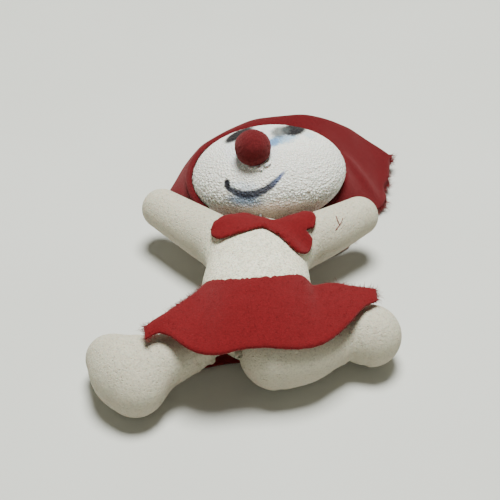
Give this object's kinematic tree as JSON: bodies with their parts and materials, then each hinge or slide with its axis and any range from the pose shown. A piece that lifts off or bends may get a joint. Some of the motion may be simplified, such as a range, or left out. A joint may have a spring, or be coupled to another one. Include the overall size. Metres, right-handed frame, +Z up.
{
  "type": "bendable foam figure",
  "caption": "Soft foam figure with raised arms and splayed legs, a round felt nose, and a felt hood, bow and skirt, lying on its back.",
  "frame": {"origin": "middle of the figure's box, on the surface that it lies on", "axes": "+Y along the body from the feet to the head, +Z up out of the face, +X towards the figure's own left hand"},
  "size_m": [0.086, 0.1168, 0.0331],
  "materials": {
    "foam_body": "soft white foam with fine grey specks",
    "foam_head": "white foam under a rough sparkling coat, with painted eyes and smile",
    "red_felt": "red felt with frayed cut edges",
    "nose_felt": "dark red felted ball",
    "glue": "dried white craft glue",
    "wire": "soft annealed steel wire"
  },
  "bodies": {
    "torso": {"torso": "foam_body", "spine_wire": "wire", "shoulder_wire": "wire", "hip_wire": "wire", "bow_tie": "red_felt", "skirt_front": "red_felt", "skirt_back": "red_felt"},
    "head": {"head_ball": "foam_head", "nose_ball": "nose_felt", "nose_glue": "glue", "hood": "red_felt"},
    "arm_left": {"arm_left": "foam_body", "arm_wire_left": "wire"},
    "arm_right": {"arm_right": "foam_body", "arm_wire_right": "wire"},
    "leg_left": {"leg_left": "foam_body", "leg_wire_left": "wire"},
    "foot_left": {"foot_left": "foam_body", "foot_wire_left": "wire"},
    "leg_right": {"leg_right": "foam_body", "leg_wire_right": "wire"}
  },
  "joints": [
    {"name": "neck_tilt", "type": "hinge", "parent": "torso", "child": "head", "pos_m": [0.00099, 0.00971, 0.013], "axis": [0, 0, 1], "range_deg": [-6, 6]},
    {"name": "shoulder_left", "type": "hinge", "parent": "torso", "child": "arm_left", "pos_m": [0.01249, 0.00121, 0.0125], "axis": [0, 0, -1], "range_deg": [-8, 60]},
    {"name": "shoulder_right", "type": "hinge", "parent": "torso", "child": "arm_right", "pos_m": [-0.01051, 0.00121, 0.0125], "axis": [0, 0, 1], "range_deg": [-8, 60]},
    {"name": "hip_left", "type": "hinge", "parent": "torso", "child": "leg_left", "pos_m": [0.00479, -0.03948, 0.0109], "axis": [0, 0, -1], "range_deg": [0, 60]},
    {"name": "ankle_left", "type": "hinge", "parent": "leg_left", "child": "foot_left", "pos_m": [0.02059, -0.03628, 0.0092], "axis": [0, 0, 1], "range_deg": [-20, 20]},
    {"name": "hip_right", "type": "hinge", "parent": "torso", "child": "leg_right", "pos_m": [-0.01461, -0.03809, 0.011], "axis": [0, 0, 1], "range_deg": [0, 55]}
  ]
}
